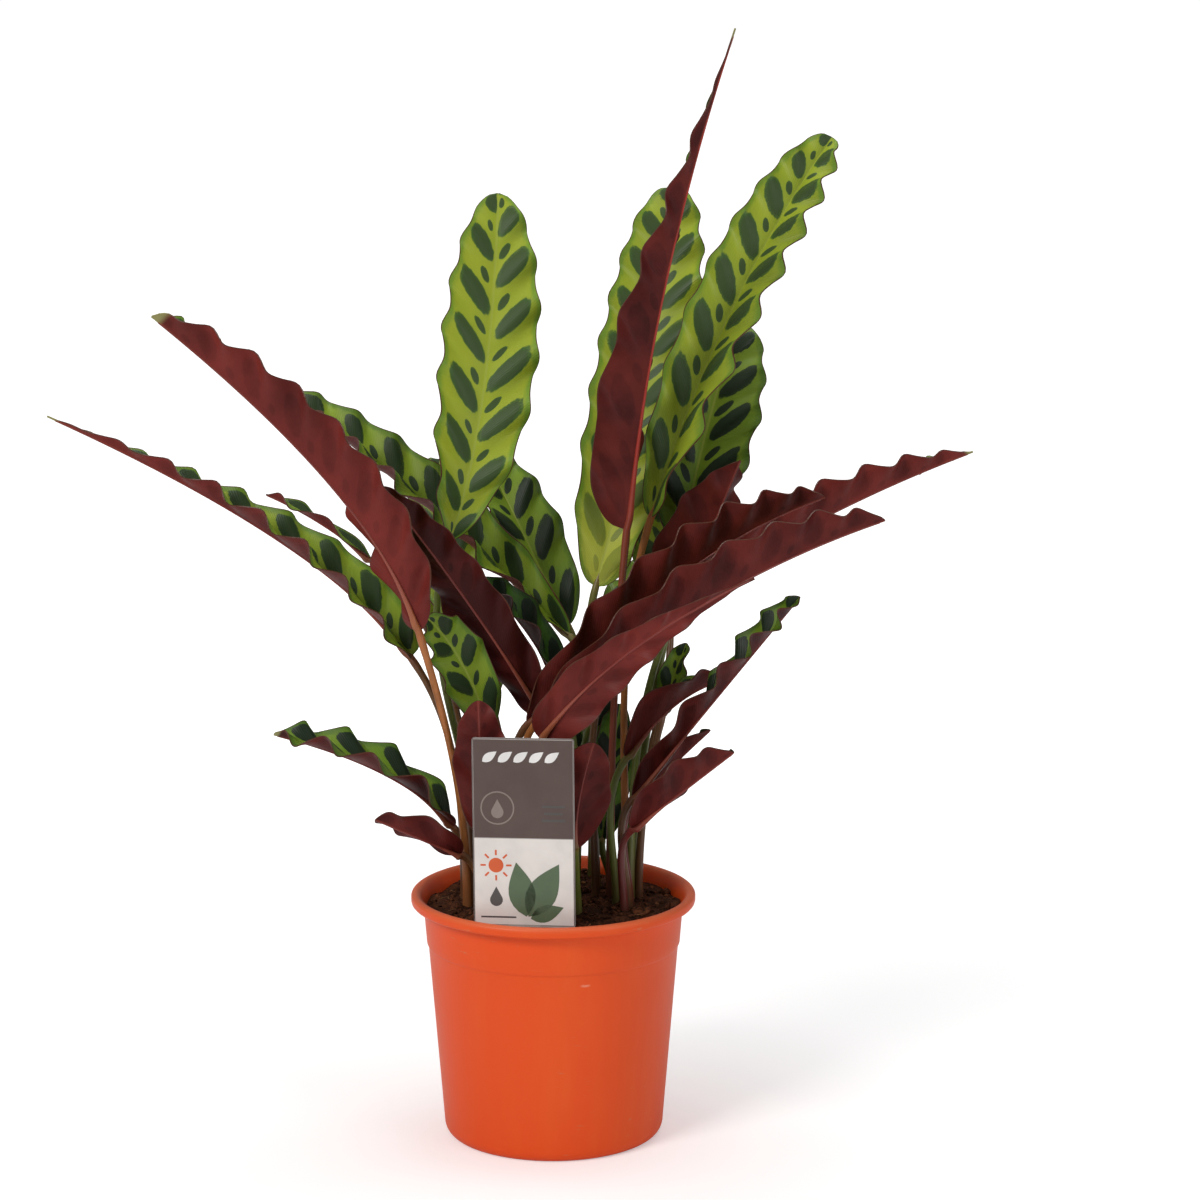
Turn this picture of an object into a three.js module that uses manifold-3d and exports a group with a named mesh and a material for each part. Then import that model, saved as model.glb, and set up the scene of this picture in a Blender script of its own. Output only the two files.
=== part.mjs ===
// Rattlesnake plant in a round nursery pot. Millimetres, +Z up.
// The origin is the middle of the pot's flat bottom, and -Y is the plant's front.
import * as THREE from 'three';
import { mergeVertices } from 'three/addons/utils/BufferGeometryUtils.js';
import Module from 'manifold-3d';

const wasm = await Module();
wasm.setup();

// Pot: an injection moulded 14 cm nursery pot with a rolled lip.
const potHeight = 122;
const rimRadius = 70;
const lipHeight = 5.5;
const lipCurve = [[1, 5.5], [0, 4.3], [0, 2], [0.8, 0.6], [2.2, 0], [4, 0.8]]; // inset and drop
const lipFlare = 0.6;
const lipFlareDrop = 3.2;
const bodyTopRadius = 64;
const shoulderHeight = 96;
const shoulderStep = 0.7;
const shoulderRamp = 1;
const bodyFootRadius = 54.3;
const footRadius = 50;
const footCorner = 6;
const potWall = 1.3;
const floorTop = 2;
const potSides = 40;
const drainHoles = 8;
const holeSides = 8;
const drainHoleRadius = 4;
const drainCircleRadius = 38;

// Soil: fills the pot to just under the lip, with an uneven top.
const soilLevel = 115;
const soilRoughness = 1.2;
const soilRings = [1, 0.84, 0.66, 0.46, 0.24, 0];
const fitGap = 0.3;

// Care label: a plastic card on a pointed stake, standing inside the front of the rim.
const labelWidth = 49;
const labelTop = 209;
const labelThickness = 0.9;
const labelFoot = 117;
const stakeWidth = 16;
const stakeTip = 76;
const stakePoint = 14;
const labelCorner = 3;
const labelCentre = [-13, -48];
const labelLean = 1;
const labelRoll = 0.6;
const labelTurn = 7;

// Leaves: every leaf is one blade on one stalk that stands in its own hole in the soil.
const stalkRadius = 1.9;
const stalkDepth = 10;
const stalkStep = 18;
const bladeThickness = 0.95;
const keelDepth = 1.4;
const veinSlope = 1;
const waveLength = 26;
const neckStretch = 0.22;
const tipHalfWidth = 0.7;
const scallop = 0.05;
const calmWidth = 0.55;
const calmNeck = 0.08;
const calmTip = 0.05;
const neckSwell = 0.12;
const neckKeel = 0.7; // of the stalk's radius
const firstQuarter = 0.35;
const lastQuarter = 0.4;
const stalkRise = 0.4;
const stalkReach = 0.33;
const usualShape = [0.6, 0.55];

// root is where the stalk leaves the soil, and neck, middle and tip lie on the midrib.
// faces is the way the upper side looks at the neck, and twist turns it towards the tip.
// fold lifts both halves off flat, at the neck and at the tip, and ripple is the wave's height.
const leaves = [
  { name: 'leaf_far_left', root: [-44, 6], neck: [-69, -5, 240], middle: [-130, -22, 300],
    tip: [-237, -34, 361], faces: [0.57, -0.67, 0.46], width: 33, fold: [44, 38], twist: -80,
    ease: 1.4, ripple: 3.6, shape: [0.4, 1] },
  { name: 'leaf_high_left', root: [-42, -7], neck: [-63, -38, 259], middle: [-101, -55, 330],
    tip: [-180, -85, 413], faces: [0.15, 0.91, 0.39], width: 46, fold: [8, 50], foldEase: 0.5,
    twist: 46, ease: 0.5, ripple: 4.2, waves: 8, shape: [0.6, 0.5] },
  { name: 'leaf_back_left', root: [-2, 27], neck: [8, 27, 244], middle: [-56, 42, 301],
    tip: [-133, 50, 362], faces: [0.35, -0.7, 0.62], width: 38, fold: [46, 36], twist: -20,
    ripple: 4, shape: [0.6, 0.5] },
  { name: 'leaf_shaded_left', root: [-8, 6], neck: [-4, 3, 208], middle: [-42, -20, 272],
    tip: [-81, -36, 328], faces: [-0.02, 0.97, 0.22], width: 30, fold: [12, 25], twist: 20,
    ripple: 3, shape: [0.5, 0.6] },
  { name: 'leaf_upright_left', root: [-35, 14], neck: [-50, 8, 295], middle: [-34, 22, 364],
    tip: [-27, 56, 460], faces: [0.35, -1, 0.2], width: 48, fold: [12, 8], twist: 10, ripple: 3.6,
    shape: [0.75, 0.48] },
  { name: 'leaf_back_middle', root: [-6, 42], neck: [7, 49, 245], middle: [-15, 68, 287],
    tip: [-38, 85, 331], faces: [0.38, -0.77, 0.51], width: 40, fold: [20, 20], twist: 0,
    ripple: 3.5 },
  { name: 'leaf_upright_middle', root: [21, 31], neck: [21, 34, 268], middle: [43, 50, 363],
    tip: [60, 85, 461], faces: [-0.15, -1, 0.25], width: 49, fold: [12, 12], twist: 0, ripple: 3.6,
    shape: [0.45, 0.38] },
  { name: 'leaf_tallest', root: [28, 12], neck: [36, 10, 300], middle: [54, -14, 422],
    tip: [85, -45, 541], faces: [-0.66, 0.8, 0.2], width: 44, fold: [50, 30], twist: -40,
    ripple: 4.5, waves: 7, shape: [0.42, 1.5] },
  { name: 'leaf_upright_right', root: [36, 28], neck: [48, 24, 304], middle: [87, 35, 404],
    tip: [137, 61, 487], faces: [-0.75, -0.8, 0.25], width: 41, fold: [26, 28], twist: -25,
    ripple: 3.6, shape: [0.5, 0.42] },
  { name: 'leaf_back_right', root: [39, 20], neck: [64, 52, 285], middle: [75, 66, 336],
    tip: [93, 94, 393], faces: [-0.1, -1, 0.25], width: 50, fold: [12, 12], twist: 0, ripple: 3.5,
    shape: [0.55, 0.42] },
  { name: 'leaf_inner_right', root: [38, 11], neck: [58, 34, 249], middle: [78, 32, 297],
    tip: [92, 32, 331], faces: [-0.5, 0.85, 0.3], width: 46, fold: [20, 35], twist: 0, ripple: 2.5,
    shape: [0.5, 0.9] },
  { name: 'leaf_far_right', root: [21, 14], neck: [46, 18, 252], middle: [122, 10, 301],
    tip: [203, 4, 339], faces: [-0.4, 0.46, 0.79], width: 40, fold: [28, 38], twist: 0, ripple: 4,
    shape: [0.6, 0.8] },
  { name: 'leaf_right_upper', root: [-14, -6], neck: [-12, -10, 208], middle: [58, -20, 280],
    tip: [130, -24, 321], faces: [-0.48, 0.55, 0.68], width: 42, fold: [25, 35], twist: -5,
    ripple: 4 },
  { name: 'leaf_right_middle', root: [-2, -12], neck: [-4, -24, 215], middle: [75, -42, 275],
    tip: [156, -56, 315], faces: [-0.36, 0.57, 0.74], width: 46, fold: [25, 38], twist: -5,
    ripple: 4 },
  { name: 'leaf_right_front', root: [-4, -22], neck: [-5, -33, 205], middle: [34, -60, 251],
    tip: [94, -80, 292], faces: [0.38, 0.93, -0.02], width: 26, fold: [0, 16], twist: -15,
    ripple: 3.2, shape: [0.4, 1.3] },
  { name: 'leaf_low_right_long', root: [37, -6], neck: [39, -11, 171], middle: [82, -25, 228],
    tip: [118, -35, 275], faces: [-0.49, 0.69, 0.53], width: 28, fold: [28, 34], twist: -72,
    ripple: 3.4 },
  { name: 'leaf_low_right_inner', root: [31, 4], neck: [36, 3, 188], middle: [60, 2, 215],
    tip: [85, 3, 227], faces: [-0.74, 0.59, 0.32], width: 35, fold: [20, 30], twist: -50, ease: 1.5,
    ripple: 3 },
  { name: 'leaf_low_right_front', root: [35, -14], neck: [39, -16, 157], middle: [62, -28, 178],
    tip: [87, -38, 200], faces: [-0.4, 0.54, 0.74], width: 34, fold: [20, 35], twist: 0,
    ripple: 2 },
  { name: 'leaf_low_right_narrow', root: [38, 2], neck: [41, 6, 166], middle: [59, 6, 184],
    tip: [77, 2, 202], faces: [-0.62, 0.35, 0.7], width: 16, fold: [35, 40], twist: 0,
    ripple: 1.5 },
  { name: 'leaf_low_left_long', root: [-41, -1], neck: [-49, -4, 155], middle: [-81, -16, 184],
    tip: [-134, -26, 206], faces: [0.53, -0.07, 0.85], width: 34, fold: [30, 30], twist: 0,
    ripple: 4.5 },
  { name: 'leaf_low_left_short', root: [-34, -12], neck: [-45, -16, 144], middle: [-61, -25, 153],
    tip: [-85, -34, 166], faces: [0.07, 0.64, 0.77], width: 26, fold: [20, 30], twist: 0,
    ripple: 2 },
  { name: 'leaf_front_left', root: [-30, -18], neck: [-33, -28, 156], middle: [-34, -34, 191],
    tip: [-35, -36, 225], faces: [-0.1, 1, 0.3], width: 26, fold: [8, 8], twist: 0, ripple: 2 },
  { name: 'leaf_front_right', root: [12, -16], neck: [11, -24, 149], middle: [13, -30, 175],
    tip: [20, -34, 204], faces: [-0.1, 1, 0.3], width: 30, fold: [8, 8], twist: 0, ripple: 2 },
  { name: 'leaf_centre', root: [9, 10], neck: [3, 14, 220], middle: [-14, 12, 251],
    tip: [-37, 10, 275], faces: [0.76, -0.38, 0.53], width: 26, fold: [38, 45], twist: 0,
    ripple: 3 },
  { name: 'leaf_left_thin', root: [-41, 19], neck: [-89, 22, 283], middle: [-114, 20, 302],
    tip: [-140, 18, 316], faces: [0.5, -0.05, 0.82], width: 10, fold: [32, 32], twist: 0,
    ripple: 2.5 },
  { name: 'leaf_inner_low_right', root: [29, 37], neck: [24, 36, 138], middle: [28, 42, 170],
    tip: [33, 50, 205], faces: [0, -1, 0.3], width: 24, fold: [15, 15], twist: 0, ripple: 2.5 },
  { name: 'leaf_inner_low_middle', root: [11, 47], neck: [13, 45, 157], middle: [15, 51, 184],
    tip: [23, 59, 219], faces: [0, -1, 0.3], width: 30, fold: [4, 6], twist: 0, ripple: 2.5 },
  { name: 'leaf_left_inner', root: [-30, 6], neck: [-31, -8, 205], middle: [-44, -17, 240],
    tip: [-60, -29, 264], faces: [0.2, -0.95, 0.3], width: 28, fold: [10, 20], twist: 0,
    ripple: 2.5, shape: [0.5, 0.5] },
  { name: 'leaf_low_right_green', root: [42, 13], neck: [54, 27, 204], middle: [59, 29, 221],
    tip: [66, 30, 240], faces: [-0.5, -0.8, 0.3], width: 16, fold: [20, 30], twist: 0, ripple: 2 },
  { name: 'leaf_rear_left_high', root: [-28, 24], neck: [-46, 48, 240], middle: [-57, 86, 286],
    tip: [-60, 128, 318], faces: [0, -0.6, 0.8], width: 38, fold: [15, 15], twist: 0, ripple: 3.5 },
  { name: 'leaf_rear_right_high', root: [37, 37], neck: [58, 62, 249], middle: [58, 92, 318],
    tip: [70, 135, 400], faces: [0, -0.6, 0.8], width: 44, fold: [15, 15], twist: 0, ripple: 3.5 },
  { name: 'leaf_rear_right', root: [19, 50], neck: [26, 68, 208], middle: [44, 105, 243],
    tip: [76, 160, 268], faces: [-0.2, -0.3, 0.9], width: 42, fold: [20, 20], twist: 0,
    ripple: 3.5 },
  { name: 'leaf_rear_left', root: [-22, 36], neck: [-32, 48, 207], middle: [-53, 88, 246],
    tip: [-82, 140, 271], faces: [0.2, -0.3, 0.9], width: 40, fold: [20, 20], twist: 0,
    ripple: 3.5 },
];

const finishes = {
  terracotta: { color: 0xd8532a, roughness: 0.45, metalness: 0 },
  pottingSoil: { color: 0x32201a, roughness: 0.95, metalness: 0 },
  card: { color: 0x8a7f79, roughness: 0.35, metalness: 0 },
  leafGreen: { color: 0x6f8a3c, roughness: 0.4, metalness: 0 },
};

const vec = (point) => new THREE.Vector3(...point);
const radians = THREE.MathUtils.degToRad;

// A manifold-3d solid from a closed geometry, and back again.
function toSolid(geometry) {
  const bare = geometry.clone();
  bare.deleteAttribute('normal');
  bare.deleteAttribute('uv');
  const merged = mergeVertices(bare, 1e-4);
  const vertProperties = new Float32Array(merged.attributes.position.array);
  const triVerts = new Uint32Array(merged.index.array);
  return new wasm.Manifold(new wasm.Mesh({ numProp: 3, vertProperties, triVerts }));
}

function toGeometry(solid) {
  const mesh = solid.getMesh();
  const geometry = new THREE.BufferGeometry();
  geometry.setAttribute('position', new THREE.BufferAttribute(mesh.vertProperties, 3));
  geometry.setIndex(new THREE.BufferAttribute(mesh.triVerts, 1));
  return geometry;
}

function piece(name, geometry, finish) {
  const mesh = new THREE.Mesh(geometry, new THREE.MeshStandardMaterial(finishes[finish]));
  mesh.name = name;
  return mesh;
}

// A LatheGeometry stands on Y, so it is turned to stand on Z.
function lathe(points, sides) {
  const profile = points.map(([radius, height]) => new THREE.Vector2(radius, height));
  return new THREE.LatheGeometry(profile, sides).rotateX(Math.PI / 2);
}

// The body's outer radius at a height between the foot and the lip.
function bodyRadius(height) {
  const rise = (height - footCorner) / (potHeight - lipHeight - footCorner);
  const taper = bodyFootRadius + (bodyTopRadius - shoulderStep - bodyFootRadius) * rise;
  return height > shoulderHeight ? taper + shoulderStep : taper;
}

const bodyTop = potHeight - lipHeight;
const innerRadius = (height) => bodyRadius(height) - potWall;

function makePot() {
  const corner = [];
  for (let step = 0; step <= 3; step += 1) {
    const angle = (step / 3) * (Math.PI / 2);
    corner.push([
      footRadius + (bodyFootRadius - footRadius) * Math.sin(angle),
      footCorner * (1 - Math.cos(angle)),
    ]);
  }
  const outside = [
    [bodyRadius(shoulderHeight), shoulderHeight],
    [bodyRadius(shoulderHeight) + shoulderStep, shoulderHeight + shoulderRamp],
    [bodyTopRadius, bodyTop],
    ...lipCurve.map(([inset, drop]) => [rimRadius - inset, potHeight - drop]),
  ];
  const inside = [
    [bodyTopRadius + lipFlare, potHeight - lipFlareDrop],
    [innerRadius(bodyTop), bodyTop - shoulderRamp],
    [innerRadius(shoulderHeight + shoulderRamp), shoulderHeight + shoulderRamp],
    [innerRadius(shoulderHeight), shoulderHeight - shoulderRamp],
    [innerRadius(footCorner), footCorner],
    [footRadius - potWall, floorTop],
    [0, floorTop],
  ];
  const shell = toSolid(lathe([[0, 0], ...corner, ...outside, ...inside], potSides));
  const drains = [];
  for (let hole = 0; hole < drainHoles; hole += 1) {
    const angle = ((hole + 0.5) / drainHoles) * 2 * Math.PI;
    const cutter = new THREE
      .CylinderGeometry(drainHoleRadius, drainHoleRadius, floorTop * 4, holeSides)
      .rotateX(Math.PI / 2)
      .translate(drainCircleRadius * Math.cos(angle), drainCircleRadius * Math.sin(angle), 0);
    drains.push(toSolid(cutter));
  }
  return toGeometry(drains.reduce((solid, cutter) => solid.subtract(cutter), shell));
}

// The soil's top rises and dips a little, and meets the pot all round.
function soilHeight(x, y) {
  const swell = Math.sin(x * 0.11 + 0.7) * Math.cos(y * 0.13) + 0.5 * Math.sin(x * 0.23 + y * 0.19);
  return soilLevel + soilRoughness * swell;
}

function makeSoil() {
  const foot = floorTop + fitGap;
  const profile = [[0, foot], [footRadius - potWall - fitGap, foot]];
  profile.push([innerRadius(footCorner) - fitGap, footCorner]);
  profile.push([innerRadius(shoulderHeight) - fitGap, shoulderHeight - shoulderRamp]);
  const edge = innerRadius(soilLevel) - 2 * fitGap;
  for (const share of soilRings) {
    profile.push([edge * share, soilLevel]);
  }
  const fill = lathe(profile, potSides);
  const spots = fill.attributes.position;
  for (let index = 0; index < spots.count; index += 1) {
    if (Math.abs(spots.getZ(index) - soilLevel) < 0.01) {
      spots.setZ(index, soilHeight(spots.getX(index), spots.getY(index)));
    }
  }
  let soil = toSolid(fill);
  const holeRadius = (stalkRadius + fitGap) / Math.cos(Math.PI / holeSides);
  for (const leaf of leaves) {
    const hole = new THREE.CylinderGeometry(holeRadius, holeRadius, 2 * stalkDepth, holeSides)
      .rotateX(Math.PI / 2)
      .translate(leaf.root[0], leaf.root[1], soilLevel);
    soil = soil.subtract(toSolid(hole));
  }
  return toGeometry(soil.subtract(toSolid(makeLabel(fitGap))));
}

// The card, or with a margin the slot that its stake stands in.
function makeLabel(margin) {
  const half = labelWidth / 2 + margin;
  const stake = stakeWidth / 2 + margin;
  const outline = new THREE.Shape([
    new THREE.Vector2(-half, labelTop),
    new THREE.Vector2(-half, labelFoot + labelCorner),
    new THREE.Vector2(-stake, labelFoot),
    new THREE.Vector2(-stake, stakeTip + stakePoint),
    new THREE.Vector2(0, stakeTip - margin),
    new THREE.Vector2(stake, stakeTip + stakePoint),
    new THREE.Vector2(stake, labelFoot),
    new THREE.Vector2(half, labelFoot + labelCorner),
    new THREE.Vector2(half, labelTop),
  ]);
  const depth = labelThickness + 2 * margin;
  return new THREE.ExtrudeGeometry(outline, { depth, bevelEnabled: false, curveSegments: 4 })
    .translate(0, -labelFoot, -depth / 2)
    .rotateZ(radians(labelRoll))
    .rotateX(Math.PI / 2 - radians(labelLean))
    .rotateZ(-radians(labelTurn))
    .translate(labelCentre[0], labelCentre[1], labelFoot);
}

// The midrib runs from the neck through the middle point to the tip.
function midribOf(leaf) {
  const neck = vec(leaf.neck);
  const tip = vec(leaf.tip);
  const pull = vec(leaf.middle).multiplyScalar(2).addScaledVector(neck, -0.5).addScaledVector(tip, -0.5);
  return new THREE.QuadraticBezierCurve3(neck, pull, tip);
}

function frameAt(leaf, midrib, t) {
  const along = midrib.getTangent(t);
  const face = vec(leaf.faces);
  face.addScaledVector(along, -face.dot(along)).normalize();
  face.applyAxisAngle(along, -radians(leaf.twist) * t ** (leaf.ease ?? 1));
  return { centre: midrib.getPoint(t), along, face, across: along.clone().cross(face) };
}

// Half the blade's width: it swells from the neck and draws in to the tip.
function halfWidth(leaf, t) {
  const [rise, fall] = leaf.shape ?? usualShape;
  const widest = rise / (rise + fall);
  const peak = widest ** rise * (1 - widest) ** fall;
  return (leaf.width / 2) * (t ** rise * (1 - t) ** fall) / peak;
}

// Distance up the leaf for counting waves, which are longer near the neck.
const stretch = (length, t) => length * t * (1 - neckStretch + neckStretch * t);

// The place t where a side vein that starts at the given distance meets the midrib or the margin.
function placeOf(leaf, length, distance, reach) {
  let low = 0;
  let high = 1;
  for (let turn = 0; turn < 40; turn += 1) {
    const t = (low + high) / 2;
    if (stretch(length, t) - reach * veinSlope * halfWidth(leaf, t) < distance) {
      low = t;
    } else {
      high = t;
    }
  }
  return (low + high) / 2;
}

// The margin's top and bottom points on one side (1 or -1) at place t.
function marginAt(leaf, midrib, waves, length, t, side) {
  const frame = frameAt(leaf, midrib, t);
  const [foldNeck, foldTip] = leaf.fold;
  const fold = radians(foldNeck + (foldTip - foldNeck) * t ** (leaf.foldEase ?? 1));
  const out = frame.across.clone().multiplyScalar(side * Math.cos(fold))
    .addScaledVector(frame.face, Math.sin(fold));
  const lift = frame.face.clone().multiplyScalar(Math.cos(fold))
    .addScaledVector(frame.across, -side * Math.sin(fold));
  const half = halfWidth(leaf, t);
  const fade = Math.min(1, 2 * half / (leaf.width * calmWidth), t / calmNeck, (1 - t) / calmTip);
  const phase = 2 * Math.PI * waves * (stretch(length, t) - veinSlope * half) / length
    + (side > 0 ? 0 : Math.PI);
  const reach = Math.max(tipHalfWidth, half * (1 + scallop * fade * Math.cos(phase)));
  const point = frame.centre.addScaledVector(out, reach)
    .addScaledVector(lift, leaf.ripple * fade * Math.sin(phase));
  return [0.5, -0.5].map((share) => point.clone().addScaledVector(lift, share * bladeThickness));
}

// Six points round a stalk, in the same order as the six points of a blade section.
function stalkRing(centre, face, across) {
  return [90, 30, -30, -90, -150, 150].map((angle) => centre.clone()
    .addScaledVector(across, stalkRadius * Math.cos(radians(angle)))
    .addScaledVector(face, stalkRadius * Math.sin(radians(angle))));
}

function stalkRings(leaf, start) {
  const root = new THREE.Vector3(...leaf.root, soilLevel);
  const reach = root.distanceTo(start.centre);
  const path = new THREE.CubicBezierCurve3(
    root,
    root.clone().add(new THREE.Vector3(0, 0, stalkRise * reach)),
    start.centre.clone().addScaledVector(start.along, -stalkReach * reach),
    start.centre,
  );
  const steps = Math.max(4, Math.round(path.getLength() / stalkStep));
  const rings = [];
  let face = start.face.clone();
  for (let step = steps; step >= 0; step -= 1) {
    const along = path.getTangent(step / steps);
    face.addScaledVector(along, -face.dot(along)).normalize();
    rings.unshift(stalkRing(path.getPoint(step / steps), face, along.clone().cross(face)));
    face = face.clone();
  }
  const buried = rings[0].map((point) => point.clone().setZ(soilLevel - stalkDepth + fitGap));
  return [buried, ...rings];
}

function bladeRings(leaf, midrib) {
  const length = midrib.getLength();
  const waves = leaf.waves ?? Math.max(2, Math.round(length / waveLength));
  const quarters = [firstQuarter];
  for (let quarter = 1; quarter < 4 * waves; quarter += 1) {
    quarters.push(quarter);
  }
  quarters.push(4 * waves - lastQuarter, 4 * waves);
  return quarters.map((quarter) => {
    const distance = (quarter / (4 * waves)) * length;
    const rib = placeOf(leaf, length, distance, 0);
    const edge = placeOf(leaf, length, distance, 1);
    const frame = frameAt(leaf, midrib, rib);
    const swell = Math.max(0, 1 - rib / neckSwell);
    const top = bladeThickness / 2 + (stalkRadius - bladeThickness / 2) * swell;
    const keel = bladeThickness / 2 + keelDepth * (1 - rib) * (1 - swell)
      + stalkRadius * neckKeel * swell;
    const [rightTop, rightBottom] = marginAt(leaf, midrib, waves, length, edge, 1);
    const [leftTop, leftBottom] = marginAt(leaf, midrib, waves, length, edge, -1);
    return [
      frame.centre.clone().addScaledVector(frame.face, top),
      rightTop,
      rightBottom,
      frame.centre.clone().addScaledVector(frame.face, -keel),
      leftBottom,
      leftTop,
    ];
  });
}

// A closed skin over six-point rings, with a flat cap at both ends. The upper and the lower side of
// each half are split into triangles alike, from the margin on to the midrib, so they never cross.
function loft(rings) {
  const positions = rings.flat().flatMap((point) => point.toArray());
  const faces = [];
  for (let ring = 0; ring < rings.length - 1; ring += 1) {
    for (let side = 0; side < 6; side += 1) {
      const here = 6 * ring + side;
      const next = 6 * ring + ((side + 1) % 6);
      if (side === 2 || side === 5) {
        faces.push(here, next, next + 6, here, next + 6, here + 6);
      } else {
        faces.push(here, next, here + 6, next, next + 6, here + 6);
      }
    }
  }
  const last = 6 * (rings.length - 1);
  for (let side = 1; side < 5; side += 1) {
    faces.push(0, side + 1, side, last, last + side, last + side + 1);
  }
  const geometry = new THREE.BufferGeometry();
  geometry.setAttribute('position', new THREE.Float32BufferAttribute(positions, 3));
  geometry.setIndex(faces);
  return geometry;
}

function makeLeaf(leaf) {
  const midrib = midribOf(leaf);
  return loft([...stalkRings(leaf, frameAt(leaf, midrib, 0)), ...bladeRings(leaf, midrib)]);
}

const plant = new THREE.Group();
plant.add(piece('pot', makePot(), 'terracotta'));
plant.add(piece('soil', makeSoil(), 'pottingSoil'));
plant.add(piece('care_label', makeLabel(0), 'card'));
for (const leaf of leaves) {
  plant.add(piece(leaf.name, makeLeaf(leaf), 'leafGreen'));
}

export default plant;
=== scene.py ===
# Rattlesnake plant in its nursery pot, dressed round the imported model. Metres, +Z up, front towards -Y.
import math
import random

import bpy
from mathutils import Matrix, Quaternion, Vector, noise


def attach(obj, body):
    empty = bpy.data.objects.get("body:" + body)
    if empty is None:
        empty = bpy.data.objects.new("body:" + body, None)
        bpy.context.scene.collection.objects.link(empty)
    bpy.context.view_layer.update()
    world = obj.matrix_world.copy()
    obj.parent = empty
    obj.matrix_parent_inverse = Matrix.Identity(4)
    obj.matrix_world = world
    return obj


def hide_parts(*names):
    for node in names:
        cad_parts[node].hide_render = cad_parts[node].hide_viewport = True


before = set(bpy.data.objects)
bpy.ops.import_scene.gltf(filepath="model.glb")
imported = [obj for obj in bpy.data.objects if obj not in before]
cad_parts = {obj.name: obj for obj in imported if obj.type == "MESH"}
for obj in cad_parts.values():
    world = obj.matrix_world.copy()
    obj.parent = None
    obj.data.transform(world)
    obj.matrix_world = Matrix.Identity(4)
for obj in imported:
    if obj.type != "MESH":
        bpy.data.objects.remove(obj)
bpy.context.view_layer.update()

mm = 0.001
print("frame loaded")


def colour(picked):
    # a colour as picked on screen, 0 to 255, made linear
    shares = [value / 255 for value in picked]
    return [s / 12.92 if s <= 0.04045 else ((s + 0.055) / 1.055) ** 2.4 for s in shares] + [1.0]


def addNode(tree, kind, sockets=None, **settings):
    node = tree.nodes.new("ShaderNode" + kind)
    for key, value in settings.items():
        setattr(node, key, value)
    for key, value in (sockets or {}).items():
        feed(tree, node.inputs[key], value)
    return node


def feed(tree, socket, value):
    if isinstance(value, bpy.types.NodeSocket):
        tree.links.new(value, socket)
    else:
        socket.default_value = value


def maths(tree, operation, first, second=0.0, third=0.0):
    node = addNode(tree, "Math", {0: first, 1: second, 2: third}, operation=operation)
    return node.outputs[0]


def times(tree, first, second):
    return maths(tree, "MULTIPLY", first, second)


def scaled(tree, value, factor, added):
    # the value times a factor, with something added
    return maths(tree, "MULTIPLY_ADD", value, factor, added)


def fade(tree, value, low, high, lowResult=0.0, highResult=1.0):
    # a soft step between two values
    sockets = {"Value": value, "From Min": low, "From Max": high}
    sockets.update({"To Min": lowResult, "To Max": highResult})
    return addNode(tree, "MapRange", sockets, interpolation_type="SMOOTHSTEP").outputs["Result"]


def blend(tree, share, first, second, mode="MIX"):
    # each look comes from a node, is linear already, or is a tuple as picked on screen
    node = addNode(tree, "Mix", {"Factor": share}, data_type="RGBA", blend_type=mode)
    for socket, look in ((6, first), (7, second)):
        feed(tree, node.inputs[socket], colour(look) if isinstance(look, tuple) else look)
    return node.outputs[2]


def grainNoise(tree, place, scale, detail=3.0, rough=0.55):
    sockets = {"Vector": place, "Scale": scale, "Detail": detail, "Roughness": rough}
    return addNode(tree, "TexNoise", sockets).outputs["Fac"]


def attribute(tree, name):
    return addNode(tree, "Attribute", attribute_name=name).outputs["Fac"]


def objectPlace(tree):
    return addNode(tree, "TexCoord").outputs["Object"]


def newGroup(name, inputs, outputs):
    # inputs and outputs are {name: default}
    group = bpy.data.node_groups.new(name, "ShaderNodeTree")
    for direction, sockets in (("INPUT", inputs), ("OUTPUT", outputs)):
        for label, default in sockets.items():
            socket = group.interface.new_socket(label, in_out=direction, socket_type="NodeSocketFloat")
            socket.default_value = default
    return group, group.nodes.new("NodeGroupInput").outputs, group.nodes.new("NodeGroupOutput").inputs


def placeGroup(tree, group, sockets):
    return addNode(tree, "Group", sockets, node_tree=group).outputs


def newMaterial(name, roughness, specular):
    material = bpy.data.materials.new(name)
    material.use_nodes = True
    shader = material.node_tree.nodes["Principled BSDF"]
    shader.inputs["Roughness"].default_value = roughness
    shader.inputs["Specular IOR Level"].default_value = specular
    return material, material.node_tree, shader.inputs


def stretched(tree, scale, turn=(0, 0, 0), shift=(0, 0, 0)):
    # the places on the object, scaled, turned and shifted
    sockets = {"Vector": objectPlace(tree), "Scale": scale, "Rotation": turn, "Location": shift}
    return addNode(tree, "Mapping", sockets).outputs[0]


def addRelief(tree, shader, height, depth, strength):
    sockets = {"Height": height, "Distance": depth, "Strength": strength}
    feed(tree, shader["Normal"], addNode(tree, "Bump", sockets).outputs["Normal"])


def pickOnly(*pieces):
    # selects these pieces alone, the first of them active
    bpy.ops.object.select_all(action="DESELECT")
    for piece in pieces:
        piece.select_set(True)
    if pieces:
        bpy.context.view_layer.objects.active = pieces[0]


def switchTo(mode):
    bpy.ops.object.mode_set(mode=mode)


def selectEdges(piece, axis, least):
    # picks the edges that run further than this along one axis
    for edge in piece.data.edges:
        a, b = (piece.data.vertices[index].co for index in edge.vertices)
        edge.select = abs(a[axis] - b[axis]) > least


def fixPlace():
    # an object's place, turn and size go into its mesh
    bpy.ops.object.transform_apply(location=True, rotation=True, scale=True)


def shapeWith(piece, kind, **settings):
    # adds one modifier to the active piece and applies it
    modifier = piece.modifiers.new("shaping", kind)
    for key, value in settings.items():
        setattr(modifier, key, value)
    bpy.ops.object.modifier_apply(modifier=modifier.name)


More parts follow.
